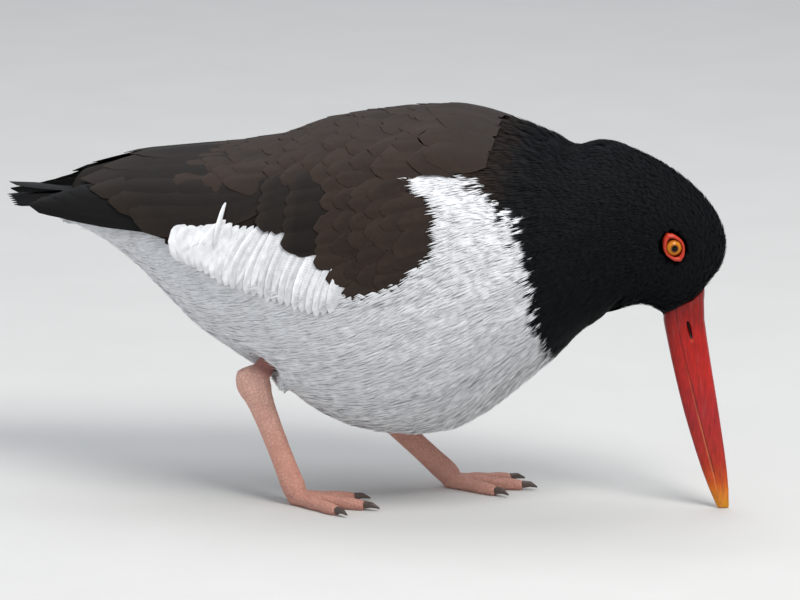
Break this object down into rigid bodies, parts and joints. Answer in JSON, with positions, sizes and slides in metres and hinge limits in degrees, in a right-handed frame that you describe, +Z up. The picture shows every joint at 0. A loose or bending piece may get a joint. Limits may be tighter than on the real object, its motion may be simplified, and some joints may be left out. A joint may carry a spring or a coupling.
{
  "type": "oystercatcher",
  "caption": "Life-size wading shorebird in a crouched, forward-leaning pose, long bill tip on the ground, with layered feather tiers over a smooth body.",
  "frame": {"origin": "on the ground, under the middle of the box around the whole bird", "axes": "+X from tail to head, +Z up, +Y to the bird's left"},
  "size_m": [0.3192, 0.1172, 0.1724],
  "materials": {
    "white_plumage": "soft matte white body feathers",
    "black_plumage": "matte black feathers with a faint cool sheen",
    "brown_plumage": "dark brown vaned feathers, slightly silky",
    "bill": "satin red-orange horn, paler orange towards the tip",
    "eye_ring": "bare red skin",
    "eye": "wet yellow-orange eye with a black pupil",
    "leg": "pale pink scaly skin",
    "claw": "dark smooth horn"
  },
  "bodies": {
    "root": {"torso": "white_plumage", "neck": "black_plumage", "head": "black_plumage", "mantle": "brown_plumage", "tail": "black_plumage", "bill_upper": "bill", "bill_lower": "bill", "shank_right": "leg", "wing_right": "brown_plumage", "eye_right": "eye", "eye_ring_right": "eye_ring", "tarsus_right": "leg", "foot_right": "leg", "claw_right_inner": "claw", "claw_right_middle": "claw", "claw_right_outer": "claw", "wing_left": "brown_plumage", "eye_left": "eye", "eye_ring_left": "eye_ring", "tarsus_left": "leg", "foot_left": "leg", "claw_left_inner": "claw", "claw_left_middle": "claw", "claw_left_outer": "claw"}
  },
  "joints": []
}
